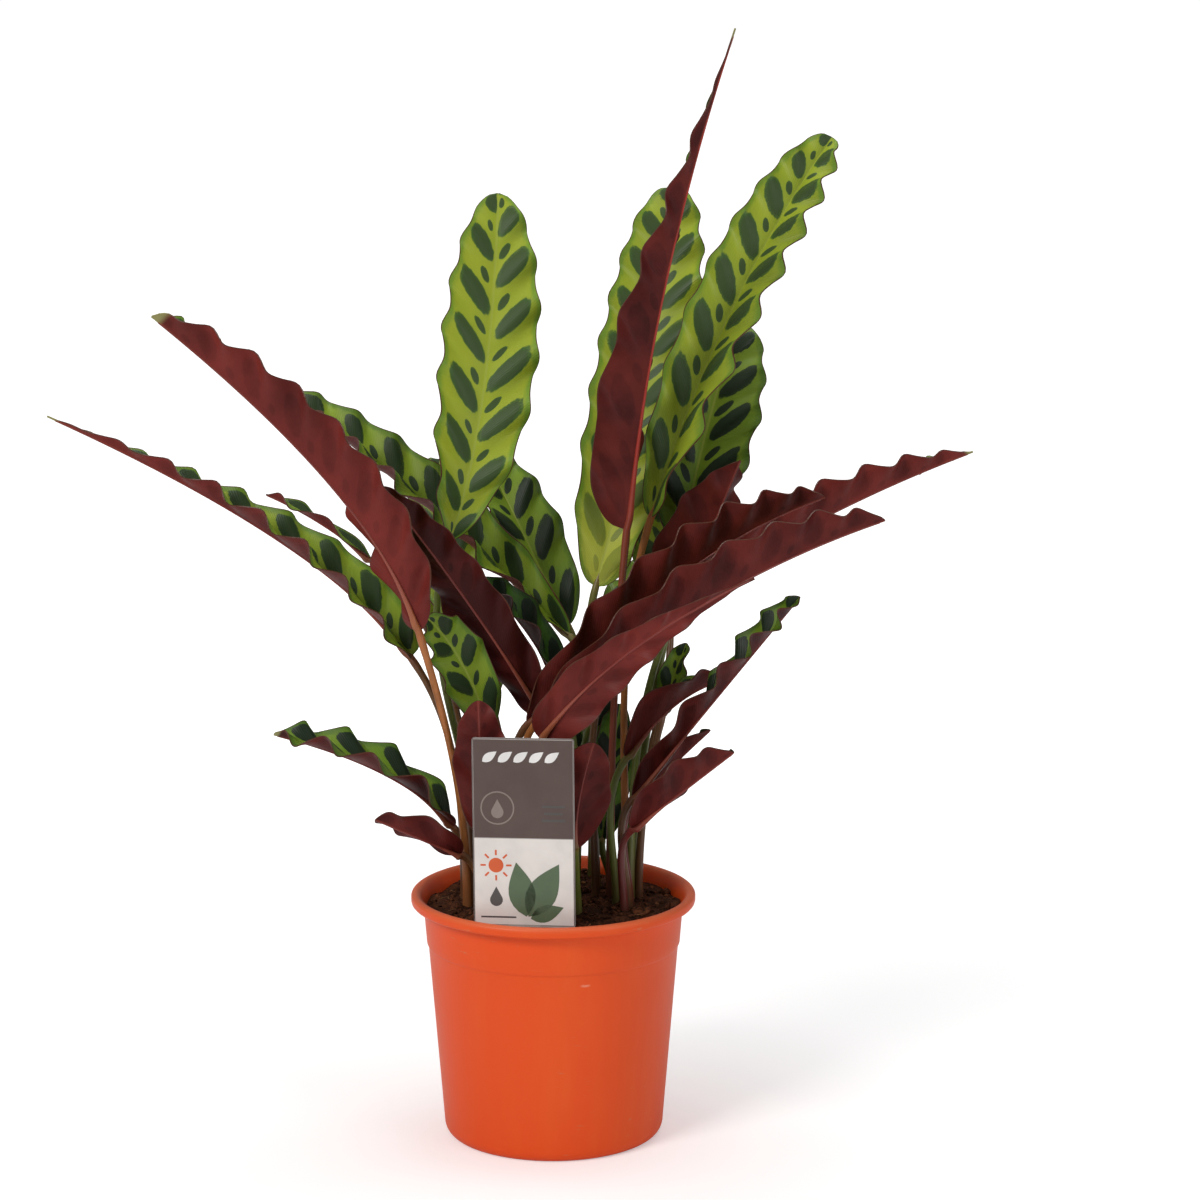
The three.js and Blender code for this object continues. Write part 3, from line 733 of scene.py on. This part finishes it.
# Every leaf's root, neck, middle and tip in mm, the way its upper side faces, its width, the fold at its
# neck and tip in degrees, and what it has of its own.
leafTable = {
    "far_left": ((-44, 6), (-69, -5, 240), (-130, -22, 300), (-237, -34, 361), (0.57, -0.67, 0.46),
        33, (44, 38), dict(twist=-80, ease=1.4, ripple=3.6, shape=(0.4, 1), tone=0.4, dry=1,
        stalk="brown")),
    "high_left": ((-42, -7), (-63, -38, 259), (-101, -55, 330), (-180, -85, 413),
        (0.15, 0.91, 0.39), 46, (8, 50), dict(foldEase=0.5, twist=46, ease=0.5, ripple=4.2, waves=8,
        shape=(0.6, 0.5), tone=0.25, dry=1, stalk="amber")),
    "back_left": ((-2, 27), (8, 27, 244), (-56, 42, 301), (-133, 50, 362), (0.35, -0.7, 0.62), 38,
        (46, 36), dict(twist=-20, ripple=4, shape=(0.6, 0.5), tone=0.45)),
    "shaded_left": ((-8, 6), (-4, 3, 208), (-42, -20, 272), (-81, -36, 328), (-0.02, 0.97, 0.22),
        30, (12, 25), dict(twist=20, ripple=3, shape=(0.5, 0.6), tone=0.9, stalk="brown")),
    "upright_left": ((-35, 14), (-50, 8, 295), (-34, 22, 364), (-27, 56, 460), (0.35, -1, 0.2), 48,
        (12, 8), dict(twist=10, ripple=3.6, shape=(0.75, 0.48), tone=0.05)),
    "back_middle": ((-6, 42), (7, 49, 245), (-15, 68, 287), (-38, 85, 331), (0.38, -0.77, 0.51), 40,
        (20, 20), {}),
    "upright_middle": ((21, 31), (21, 34, 268), (43, 50, 363), (60, 85, 461), (-0.15, -1, 0.25), 49,
        (12, 12), dict(ripple=3.6, shape=(0.45, 0.38), tone=0.1, pale=0.9)),
    "tallest": ((28, 12), (36, 10, 300), (54, -14, 422), (85, -45, 541), (-0.66, 0.8, 0.2), 44,
        (50, 30), dict(twist=-40, ripple=4.5, waves=7, shape=(0.42, 1.5), tone=0.65, dry=1,
        stalk="red")),
    "upright_right": ((36, 28), (48, 24, 304), (87, 35, 404), (137, 61, 487), (-0.75, -0.8, 0.25),
        41, (26, 28), dict(twist=-25, ripple=3.6, shape=(0.5, 0.42), tone=0.15, stalk="amber")),
    "back_right": ((39, 20), (64, 52, 285), (75, 66, 336), (93, 94, 393), (-0.1, -1, 0.25), 50,
        (12, 12), dict(shape=(0.55, 0.42))),
    "inner_right": ((38, 11), (58, 34, 249), (78, 32, 297), (92, 32, 331), (-0.5, 0.85, 0.3), 46,
        (20, 35), dict(ripple=2.5, shape=(0.5, 0.9))),
    "far_right": ((21, 14), (46, 18, 252), (122, 10, 301), (203, 4, 339), (-0.4, 0.46, 0.79), 40,
        (28, 38), dict(ripple=4, shape=(0.6, 0.8), tone=0.4, dry=1, stalk="brown")),
    "right_upper": ((-14, -6), (-12, -10, 208), (58, -20, 280), (130, -24, 321),
        (-0.48, 0.55, 0.68), 42, (25, 35), dict(twist=-5, ripple=4, stalk="brown")),
    "right_middle": ((-2, -12), (-4, -24, 215), (75, -42, 275), (156, -56, 315),
        (-0.36, 0.57, 0.74), 46, (25, 38), dict(twist=-5, ripple=4, stalk="amber")),
    "right_front": ((-4, -22), (-5, -33, 205), (34, -60, 251), (94, -80, 292), (0.38, 0.93, -0.02),
        26, (0, 16), dict(twist=-15, ripple=3.2, shape=(0.4, 1.3), tone=0.45, stalk="amber")),
    "low_right_long": ((37, -6), (39, -11, 171), (82, -25, 228), (118, -35, 275),
        (-0.49, 0.69, 0.53), 28, (28, 34), dict(twist=-72, ripple=3.4, tone=0.7, stalk="brown")),
    "low_right_inner": ((31, 4), (36, 3, 188), (60, 2, 215), (85, 3, 227), (-0.74, 0.59, 0.32), 35,
        (20, 30), dict(twist=-50, ease=1.5, ripple=3, tone=0.5)),
    "low_right_front": ((35, -14), (39, -16, 157), (62, -28, 178), (87, -38, 200),
        (-0.4, 0.54, 0.74), 34, (20, 35), dict(ripple=2, tone=0.7, stalk="wine")),
    "low_right_narrow": ((38, 2), (41, 6, 166), (59, 6, 184), (77, 2, 202), (-0.62, 0.35, 0.7), 16,
        (35, 40), dict(ripple=1.5, tone=0.7, stalk="wine")),
    "low_left_long": ((-41, -1), (-49, -4, 155), (-81, -16, 184), (-134, -26, 206),
        (0.53, -0.07, 0.85), 34, (30, 30), dict(ripple=4.5, tone=0.65, dry=1, stalk="brown")),
    "low_left_short": ((-34, -12), (-45, -16, 144), (-61, -25, 153), (-85, -34, 166),
        (0.07, 0.64, 0.77), 26, (20, 30), dict(ripple=2, tone=0.7, stalk="brown")),
    "front_left": ((-30, -18), (-33, -28, 156), (-34, -34, 191), (-35, -36, 225), (-0.1, 1, 0.3),
        26, (8, 8), dict(ripple=2)),
    "front_right": ((12, -16), (11, -24, 149), (13, -30, 175), (20, -34, 204), (-0.1, 1, 0.3), 30,
        (8, 8), dict(ripple=2)),
    "centre": ((9, 10), (3, 14, 220), (-14, 12, 251), (-37, 10, 275), (0.76, -0.38, 0.53), 26,
        (38, 45), dict(ripple=3, tone=1)),
    "left_thin": ((-41, 19), (-89, 22, 283), (-114, 20, 302), (-140, 18, 316), (0.5, -0.05, 0.82),
        10, (32, 32), dict(ripple=2.5, tone=0.4, stalk="brown")),
    "inner_low_right": ((29, 37), (24, 36, 138), (28, 42, 170), (33, 50, 205), (0, -1, 0.3), 24,
        (15, 15), dict(ripple=2.5, tone=0.8)),
    "inner_low_middle": ((11, 47), (13, 45, 157), (15, 51, 184), (23, 59, 219), (0, -1, 0.3), 30,
        (4, 6), dict(ripple=2.5, tone=0.8)),
    "left_inner": ((-30, 6), (-31, -8, 205), (-44, -17, 240), (-60, -29, 264), (0.2, -0.95, 0.3),
        28, (10, 20), dict(ripple=2.5, shape=(0.5, 0.5), tone=0.5, stalk="brown")),
    "low_right_green": ((42, 13), (54, 27, 204), (59, 29, 221), (66, 30, 240), (-0.5, -0.8, 0.3),
        16, (20, 30), dict(ripple=2, stalk="brown")),
    "rear_left_high": ((-28, 24), (-46, 48, 240), (-57, 86, 286), (-60, 128, 318), (0, -0.6, 0.8),
        38, (15, 15), dict(tone=0.35)),
    "rear_right_high": ((37, 37), (58, 62, 249), (58, 92, 318), (70, 135, 400), (0, -0.6, 0.8), 44,
        (15, 15), dict(tone=0.3, stalk="brown")),
    "rear_right": ((19, 50), (26, 68, 208), (44, 105, 243), (76, 160, 268), (-0.2, -0.3, 0.9), 42,
        (20, 20), dict(tone=0.4)),
    "rear_left": ((-22, 36), (-32, 48, 207), (-53, 88, 246), (-82, 140, 271), (0.2, -0.3, 0.9), 40,
        (20, 20), dict(tone=0.45, stalk="brown")),
}

leafBuild = {  # lengths in mm, the rest shares and counts
    "soilTop": 112,  # where the line of a stalk starts
    "soilDip": 10,  # how far a stalk goes into the soil
    "stations": 128,
    "acrossSteps": 20,
    "thickness": 0.55,
    "waveLength": 26,
    "neckStretch": 0.22,
    "tipHalf": 0.7,
    "scallop": 0.05,
    "calmWidth": 0.55,
    "calmNeck": 0.08,
    "calmTip": 0.05,
    "crown": 0.035,  # how far each half arches, for its width
    "skew": 0.4,  # how far the waves lean towards the tip
    "rippleReach": 1.3,
    "unevenness": 0.3,
    "stalkRadius": 1.9,
    "ribTipRadius": 0.3,
    "stalkSides": 12,
    "stalkSteps": 34,
    "ribSteps": 46,
    "stalkRise": 0.4,
    "stalkReach": 0.33,
    "sheathReach": 0.4,  # of the stalk
    "sheathSpread": 0.4,
    "knucklePlace": 0.96,
    "knuckleReach": 0.05,
    "knuckleSwell": 0.12,
    "ribSwell": 0.6,
    "ribReach": 0.35,  # of the leaf
    "ribSunk": 0.15,
}


def alongCurve(handles, t):
    # a Bezier curve's point and direction
    points = handles
    while len(points) > 2:
        points = [a.lerp(b, t) for a, b in zip(points, points[1:])]
    return points[0].lerp(points[1], t), (points[1] - points[0]).normalized()


def planLeaf(name, seed):
    # the leaf's midrib, stalk line and length, worked out from its row in the table
    foot, *places, width, fold, own = leafTable[name]
    neck, middle, tip, faces = (Vector(place) for place in places)
    leaf = {**leafUsual, **own, "faces": faces, "width": width, "fold": fold, "seed": seed}
    leaf["midrib"] = [neck, 2 * middle - (neck + tip) / 2, tip]
    marks = [alongCurve(leaf["midrib"], step / 60)[0] for step in range(61)]
    leaf["length"] = sum((b - a).length for a, b in zip(marks, marks[1:]))
    leaf.setdefault("waves", max(2, round(leaf["length"] / leafBuild["waveLength"])))
    root = Vector((*foot, leafBuild["soilTop"]))
    reach = (neck - root).length
    start = alongCurve(leaf["midrib"], 0)[1]
    up = Vector((0, 0, leafBuild["stalkRise"] * reach))
    leaf["stalkLine"] = [root, root + up, neck - start * leafBuild["stalkReach"] * reach, neck]
    rise, fall = leaf["shape"]
    widest = rise / (rise + fall)
    leaf["peak"] = widest ** rise * (1 - widest) ** fall
    return leaf


def bladeFrame(leaf, t):
    centre, along = alongCurve(leaf["midrib"], t)
    face = leaf["faces"]
    face = (face - along * face.dot(along)).normalized()
    face.rotate(Quaternion(along, -math.radians(leaf["twist"]) * t ** leaf["ease"]))
    return centre, along, face, along.cross(face)


def halfWidth(leaf, t):
    rise, fall = leaf["shape"]
    return leaf["width"] / 2 * t ** rise * (1 - t) ** fall / leaf["peak"]


def bladeRow(leaf, t, places):
    # the blade's points at t for places from -1 to 1 across, with what its finish reads there
    centre, along, face, sideways = bladeFrame(leaf, t)
    foldNeck, foldTip = leaf["fold"]
    fold = math.radians(foldNeck + (foldTip - foldNeck) * t ** leaf["foldEase"])
    half = halfWidth(leaf, t)
    stretch = leafBuild["neckStretch"]
    distance = leaf["length"] * t * (1 - stretch + stretch * t)
    calm = (2 * half / (leaf["width"] * leafBuild["calmWidth"]), t / leafBuild["calmNeck"],
            (1 - t) / leafBuild["calmTip"])
    strength = min(1, *calm)
    row = []
    for across in places:
        side = 1 if across >= 0 else -1
        reach = abs(across)
        out = sideways * side * math.cos(fold) + face * math.sin(fold)
        lift = face * math.cos(fold) - sideways * side * math.sin(fold)
        waves = leaf["waves"] * (distance - reach * half) / leaf["length"]
        phase = 2 * math.pi * waves + (0 if side > 0 else math.pi)
        phase += leafBuild["skew"] * math.sin(phase)
        swing = noise.noise(Vector((waves * 0.8, 3.7 * side, 5.3 * leaf["seed"])))
        scallop = leafBuild["scallop"] * strength * reach ** 3 * math.cos(phase)
        span = reach * max(leafBuild["tipHalf"], half * (1 + scallop))
        height = leaf["ripple"] * (1 + leafBuild["unevenness"] * swing)
        rise = height * strength * reach ** leafBuild["rippleReach"] * math.sin(phase)
        rise += leafBuild["crown"] * half * math.sin(math.pi * reach)
        row.append((centre + out * span + lift * rise, waves, across, half, t))
    return row


def writeAttribute(mesh, name, values):
    mesh.attributes.new(name, "FLOAT", "POINT").data.foreach_set("value", values)


def shapedGrid(name, columns, rows, rowAt):
    # a flat grid from -1 to 1 both ways, shaped row by row; rowAt gives each point and what belongs to it
    pickOnly()
    bpy.ops.mesh.primitive_grid_add(x_subdivisions=columns, y_subdivisions=rows, size=2)
    made = bpy.context.object
    made.name = made.data.name = name
    spots = [(round(v.co.y, 5), v.co.x) for v in made.data.vertices]
    shaped = {}
    for number, station in enumerate(sorted({y for y, x in spots})):
        places = sorted({x for y, x in spots if y == station})
        shaped[station] = dict(zip(places, rowAt(number, station, places)))
    found = [shaped[y][x] for y, x in spots]
    made.data.vertices.foreach_set("co", [value * mm for entry in found for value in entry[0]])
    return made, found


def makeBlade(name, leaf):
    build = leafBuild

    def rowAt(number, station, places):
        share = (station + 1) / 2
        t = share + 0.5 * share * (1 - share) * (share - 0.5)  # closer rows at both ends
        return bladeRow(leaf, t, places)

    blade, found = shapedGrid(name, build["acrossSteps"], build["stations"], rowAt)
    for column, label in enumerate(("leafAlong", "leafAcross", "leafHalf", "leafShare"), 1):
        writeAttribute(blade.data, label, [entry[column] for entry in found])
    blade.data.materials.append(finishes["leafUpper"])
    blade.data.materials.append(finishes["leafUnder"])
    shapeWith(blade, "SOLIDIFY", thickness=build["thickness"] * mm, offset=0, material_offset=1,
              material_offset_rim=0)
    return blade


def stalkRadiusAt(climb):
    # half width and half depth: a flat sheath at the soil, a round stalk, and a rib that thins out
    build = leafBuild
    radius = build["stalkRadius"]
    if climb > 1:
        rib = build["ribTipRadius"] * (3 - climb)
        rib += build["ribSwell"] * radius * max(0, 1 - (climb - 1) / build["ribReach"]) ** 1.6
        joined = min(1, (climb - 1) / 0.06)
        rib = radius + (rib - radius) * joined
        return rib, rib
    sheath = max(0.0, 1 - climb / build["sheathReach"])
    knuckle = max(0.0, 1 - abs(climb - build["knucklePlace"]) / build["knuckleReach"])
    slim = radius * (0.94 + build["knuckleSwell"] * knuckle)
    return slim * (1 + build["sheathSpread"] * sheath), slim * (1 + 0.02 * sheath)


def stalkRing(leaf, climb, places):
    build = leafBuild
    if climb > 1:
        centre, along, face, sideways = bladeFrame(leaf, climb - 1)
        wide, deep = stalkRadiusAt(climb)
        sunk = min(1, (climb - 1) / 0.03)
        centre = centre - face * (deep - build["ribSunk"]) * sunk
    else:
        centre, along = alongCurve(leaf["stalkLine"], max(0, climb))
        face = bladeFrame(leaf, 0)[2]
        face = (face - along * face.dot(along)).normalized()
        sideways = along.cross(face)
        wide, deep = stalkRadiusAt(max(0, climb))
        if climb < 0:
            centre = centre - Vector((0, 0, build["soilDip"] - 0.5))
    turns = [-math.pi * (place + 1) for place in places]
    return [(centre + sideways * wide * math.cos(turn) + face * deep * math.sin(turn), climb)
            for turn in turns]


def makeStalk(name, leaf):
    build = leafBuild
    climbs = [-0.01] + [step / build["stalkSteps"] for step in range(build["stalkSteps"])]
    climbs += [1 + step / build["ribSteps"] * 0.985 for step in range(build["ribSteps"] + 1)]

    def rowAt(number, station, places):
        return stalkRing(leaf, climbs[number], places)

    stalk, found = shapedGrid(name + "_stalk", build["stalkSides"], len(climbs) - 1, rowAt)
    writeAttribute(stalk.data, "stalkClimb", [entry[1] for entry in found])
    switchTo("EDIT")
    bpy.ops.mesh.select_all(action="SELECT")
    bpy.ops.mesh.remove_doubles(threshold=0.01 * mm)
    bpy.ops.mesh.select_all(action="DESELECT")
    bpy.ops.mesh.select_non_manifold()
    bpy.ops.mesh.fill_holes(sides=0)
    switchTo("OBJECT")
    stalk.data.materials.append(finishes["stalk"])
    return stalk


def makeLeaf(name, seed):
    leaf = planLeaf(name, seed)
    stalk = makeStalk(name, leaf)
    blade = makeBlade(name + "_leaf", leaf)
    stalk.select_set(True)
    bpy.ops.object.join()
    blade.name = blade.data.name = "dressed_leaf_" + name
    count = len(blade.data.vertices)
    shares = [0.0] * count
    blade.data.attributes["leafShare"].data.foreach_get("value", shares)
    traits = {
        "leafPale": [leaf["pale"] * max(0, 1 - share / leafPattern["paleReach"]) for share in shares],
        "leafDry": [leaf["dry"] * max(0, 1 - (1 - share) / leafPattern["dryReach"]) for share in shares],
        "leafTone": [leaf["tone"]] * count,
        "leafSeed": [float(seed)] * count,
        "stalkKind": [stalkColours[leaf["stalk"]][0]] * count,
    }
    for label, values in traits.items():
        writeAttribute(blade.data, label, values)
    smoothBelow(50)
    settle(blade, "leaf_" + name)


leafPattern = {
    "blotchLength": 0.40,  # of the half blade
    "blotchMiddle": 0.46,
    "blotchWidth": 0.25,  # of one wave
    "ovalMiddle": 0.24,
    "ovalLength": 0.135,
    "ovalWidth": 0.115,
    "ovalBigger": 0.2,  # how much more on the right half
    "squareness": 2.3,  # 2 is an ellipse
    "ragged": 0.85,
    "bandWidth": 4.2,  # darker green along the margin, in mm
    "lineWidth": 0.55,  # brown-red margin line, in mm
    "ribWidth": 0.55,  # midrib line, in mm
    "veinsPerWave": 21,
    "paleReach": 0.35,  # of the leaf, from the stalk
    "dryReach": 0.025,  # of the leaf, from the tip
}

leafColours = {
    "ground": (156, 168, 44),
    # ground, band and blotch each have a darker copy that a shaded leaf's tone blends to: painted shade
    "shadedGround": (78, 126, 30),
    "pale": (186, 188, 74),
    "band": (96, 140, 44),
    "shadedBand": (32, 66, 22),
    "blotch": (60, 80, 40),
    "shadedBlotch": (28, 44, 24),
    "blotchEdge": (62, 94, 40),
    "line": (84, 46, 30),
    "rib": (160, 172, 74),
    "under": (124, 45, 39),
    "underShadow": (62, 15, 14),
    "underRib": (148, 72, 56),
    "redRib": (160, 44, 32),
    "underLine": (94, 50, 42),
    "dryTip": (146, 142, 92),
    "sheath": (88, 58, 40),
    "streak": (70, 52, 32),
}

stalkColours = {  # its place on the stalks' colour ramp, and its look
    "olive": (0.0, (108, 120, 48)),
    "amber": (0.35, (176, 106, 52)),
    "brown": (0.7, (112, 74, 42)),
    "wine": (0.88, (112, 36, 38)),
    "red": (1.0, (142, 66, 48)),
}


def makeMarks():
    # the leaf's markings, from a place along and across the blade
    inputs = {"Along": 0.0, "Across": 0.0, "Half": 20.0, "Seed": 0.0}
    outputs = dict.fromkeys(("Blotch", "Core", "Band", "Line", "Rib", "Veins"), 0.0)
    group, take, give = newGroup("leafMarks", inputs, outputs)
    reach = maths(group, "ABSOLUTE", take["Across"])
    right = maths(group, "GREATER_THAN", take["Across"], 0.0)
    cell = maths(group, "ADD", take["Along"], scaled(group, right, -0.5, 0.75))
    wide = times(group, take["Across"], 1.4)
    spread = addNode(group, "CombineXYZ", {"X": take["Along"], "Y": wide, "Z": take["Seed"]})
    ragged = maths(group, "SUBTRACT", grainNoise(group, spread.outputs[0], 5.0, 4.0), 0.5)

    def dice(whole, shift):
        # three random shares for one blotch
        sockets = {"X": whole, "Y": maths(group, "ADD", right, shift), "Z": take["Seed"]}
        place = addNode(group, "CombineXYZ", sockets).outputs[0]
        node = addNode(group, "TexWhiteNoise", {"Vector": place}, noise_dimensions="3D")
        return addNode(group, "SeparateColor", {0: node.outputs["Color"]}).outputs

    def oval(offset, width, middle, length, power):
        across = maths(group, "DIVIDE", maths(group, "ABSOLUTE", offset), width)
        outward = maths(group, "ABSOLUTE", maths(group, "SUBTRACT", reach, middle))
        outward = maths(group, "DIVIDE", outward, length)
        outward = maths(group, "POWER", outward, power)
        total = maths(group, "ADD", maths(group, "POWER", across, power), outward)
        return scaled(group, ragged, leafPattern["ragged"], total)

    big = dice(maths(group, "FLOOR", cell), 0.0)
    offset = maths(group, "SUBTRACT", maths(group, "FRACT", cell), 0.5)
    offset = scaled(group, maths(group, "SUBTRACT", big[0], 0.5), 0.08, offset)
    width = scaled(group, big[1], 0.06, leafPattern["blotchWidth"] - 0.03)
    length = scaled(group, big[2], 0.08, leafPattern["blotchLength"] - 0.05)
    blotch = oval(offset, width, leafPattern["blotchMiddle"], length, leafPattern["squareness"])

    halfCell = maths(group, "ADD", cell, 0.5)
    small = dice(maths(group, "FLOOR", halfCell), 5.0)
    offset = maths(group, "SUBTRACT", maths(group, "FRACT", halfCell), 0.5)
    bigger = scaled(group, right, leafPattern["ovalBigger"], 1.0)
    width = scaled(group, small[0], 0.05, leafPattern["ovalWidth"] - 0.03)
    length = times(group, scaled(group, small[1], 0.05, leafPattern["ovalLength"] - 0.03), bigger)
    speck = oval(offset, width, leafPattern["ovalMiddle"], length, 2.0)

    both = maths(group, "MINIMUM", blotch, speck)
    group.links.new(fade(group, both, 1.12, 0.88), give["Blotch"])
    group.links.new(fade(group, both, 0.95, 0.5), give["Core"])
    fromMargin = times(group, maths(group, "SUBTRACT", 1.0, reach), take["Half"])
    feather = scaled(group, ragged, 5.0, fromMargin)
    group.links.new(fade(group, feather, leafPattern["bandWidth"], 0.6), give["Band"])
    group.links.new(fade(group, fromMargin, leafPattern["lineWidth"], 0.15), give["Line"])
    fromRib = times(group, reach, take["Half"])
    ribWidth = leafPattern["ribWidth"]
    group.links.new(fade(group, fromRib, 1.6 * ribWidth, 0.5 * ribWidth), give["Rib"])
    turns = times(group, take["Along"], 2 * math.pi * leafPattern["veinsPerWave"])
    group.links.new(maths(group, "SINE", scaled(group, ragged, 2.5, turns)), give["Veins"])
    return group


def markedHere(tree, marks):
    # the markings, placed by the leaf's own attributes
    place = {key: attribute(tree, "leaf" + key) for key in ("Along", "Across", "Half", "Seed")}
    return placeGroup(tree, marks, place)


def driedTip(tree, look):
    dry = fade(tree, attribute(tree, "leafDry"), 0.0, 0.6)
    return blend(tree, dry, look, leafColours["dryTip"])


def makeUpper(marks):
    material, tree, shader = newMaterial("leaf_upper_side", 0.42, 0.3)
    mark = markedHere(tree, marks)
    tone = attribute(tree, "leafTone")
    pale = attribute(tree, "leafPale")
    cloud = grainNoise(tree, objectPlace(tree), 45.0, 3.0)
    # painted shade: the leaf's tone, varied a little by noise, blends the ground, the margin band and the
    # blotches towards their darker shaded copies
    drift = maths(tree, "ADD", tone, times(tree, maths(tree, "SUBTRACT", cloud, 0.5), 0.5))
    ground = blend(tree, maths(tree, "MINIMUM", maths(tree, "MAXIMUM", drift, 0.0), 1.0),
                   leafColours["ground"], leafColours["shadedGround"])
    ground = blend(tree, pale, ground, leafColours["pale"])
    band = blend(tree, tone, leafColours["band"], leafColours["shadedBand"])
    look = blend(tree, times(tree, mark["Band"], 0.75), ground, band)
    look = blend(tree, times(tree, mark["Rib"], 0.5), look, leafColours["rib"])
    dark = blend(tree, mark["Core"], leafColours["blotchEdge"], leafColours["blotch"])
    dark = blend(tree, fade(tree, tone, 0.1, 0.7), dark, leafColours["shadedBlotch"])
    shown = times(tree, mark["Blotch"], scaled(tree, pale, -0.8, 1.0))
    look = blend(tree, shown, look, dark)
    look = driedTip(tree, blend(tree, mark["Line"], look, leafColours["line"]))
    # the veins darken the colour a little, and a tone above 0.6 darkens it by up to half as painted shade
    shade = scaled(tree, mark["Veins"], 0.025, 1.0)
    shade = times(tree, shade, fade(tree, tone, 0.6, 1.0, 1.0, 0.5))
    shadeColour = addNode(tree, "CombineColor", {0: shade, 1: shade, 2: shade}).outputs[0]
    tree.links.new(blend(tree, 1.0, look, shadeColour, "MULTIPLY"), shader["Base Color"])
    tree.links.new(scaled(tree, mark["Blotch"], -0.02, 0.44), shader["Roughness"])
    ripple = scaled(tree, cloud, 1.5, times(tree, mark["Veins"], 0.15))
    ripple = scaled(tree, mark["Core"], 0.4, ripple)
    addRelief(tree, shader, ripple, 0.25 * mm, 0.7)
    return material


def makeUnder(marks):
    material, tree, shader = newMaterial("leaf_under_side", 0.5, 0.18)
    mark = markedHere(tree, marks)
    cloud = grainNoise(tree, objectPlace(tree), 30.0, 4.0)
    # the blotches showing through and random mottles darken the underside, and a leaf's tone darkens it
    # further towards the shadow colour as painted shade
    shadow = scaled(tree, mark["Core"], 0.18, fade(tree, cloud, 0.3, 0.72, 0.0, 0.55))
    deep = scaled(tree, fade(tree, attribute(tree, "leafTone"), 0.3, 1.0), 0.7, shadow)
    deep = maths(tree, "MINIMUM", deep, 1.0)
    look = blend(tree, deep, leafColours["under"], leafColours["underShadow"])
    look = blend(tree, times(tree, mark["Rib"], 0.5), look, leafColours["underRib"])
    look = blend(tree, mark["Line"], look, leafColours["underLine"])
    tree.links.new(driedTip(tree, look), shader["Base Color"])
    ripple = scaled(tree, cloud, 1.2, times(tree, mark["Veins"], 0.12))
    addRelief(tree, shader, ripple, 0.25 * mm, 0.6)
    return material


def makeStalkSkin():
    material, tree, shader = newMaterial("leaf_stalk", 0.38, 0.5)
    climb = attribute(tree, "stalkClimb")  # 0 at the soil, 1 at the blade, 2 at the leaf's tip
    kind = attribute(tree, "stalkKind")
    ramp = addNode(tree, "ValToRGB", {"Fac": kind})
    stops = ramp.color_ramp.elements
    stops.remove(stops[1])
    for position, picked in stalkColours.values():
        stop = stops.new(position) if position else stops[0]
        stop.color = colour(picked)
    streak = grainNoise(tree, stretched(tree, (420, 420, 45)), 1.0, 3.0)
    low = fade(tree, climb, 0.35, 0.0, 0.0, 0.55)
    look = blend(tree, low, ramp.outputs["Color"], leafColours["sheath"])
    look = blend(tree, fade(tree, streak, 0.35, 0.7, 0.0, 0.35), look, leafColours["streak"])
    plain = fade(tree, kind, 0.99, 0.92)
    rib = blend(tree, plain, leafColours["redRib"], leafColours["underRib"])
    merged = times(tree, plain, fade(tree, climb, 1.15, 1.5))
    rib = blend(tree, merged, rib, leafColours["under"])
    look = blend(tree, fade(tree, climb, 0.9, 1.2), look, rib)
    tree.links.new(look, shader["Base Color"])
    addRelief(tree, shader, streak, 0.3 * mm, 0.5)
    return material


marks = makeMarks()
finishes = {
    "leafUpper": makeUpper(marks),
    "leafUnder": makeUnder(marks),
    "stalk": makeStalkSkin(),
    "pot": makePotSkin(),
    "soil": makeSoilSkin("soil_surface", "damp", "dry", 150.0),
    "crumb": makeSoilSkin("soil_crumb", "crumbDark", "crumbLight", 90.0),
    "fibre": makeSoilSkin("soil_fibre", "crumbLight", "fibre", 120.0),
}
finishes.update({name: makeCardSkin(name) for name in labelColours})
print("finishes mixed")

makePot()
print("pot turned")
makeSoil()
print("soil filled in")
makeLabel()
print("label set up")
for number, leafName in enumerate(leafTable):
    makeLeaf(leafName, number + 1)
print("leaves grown:", len(leafTable))
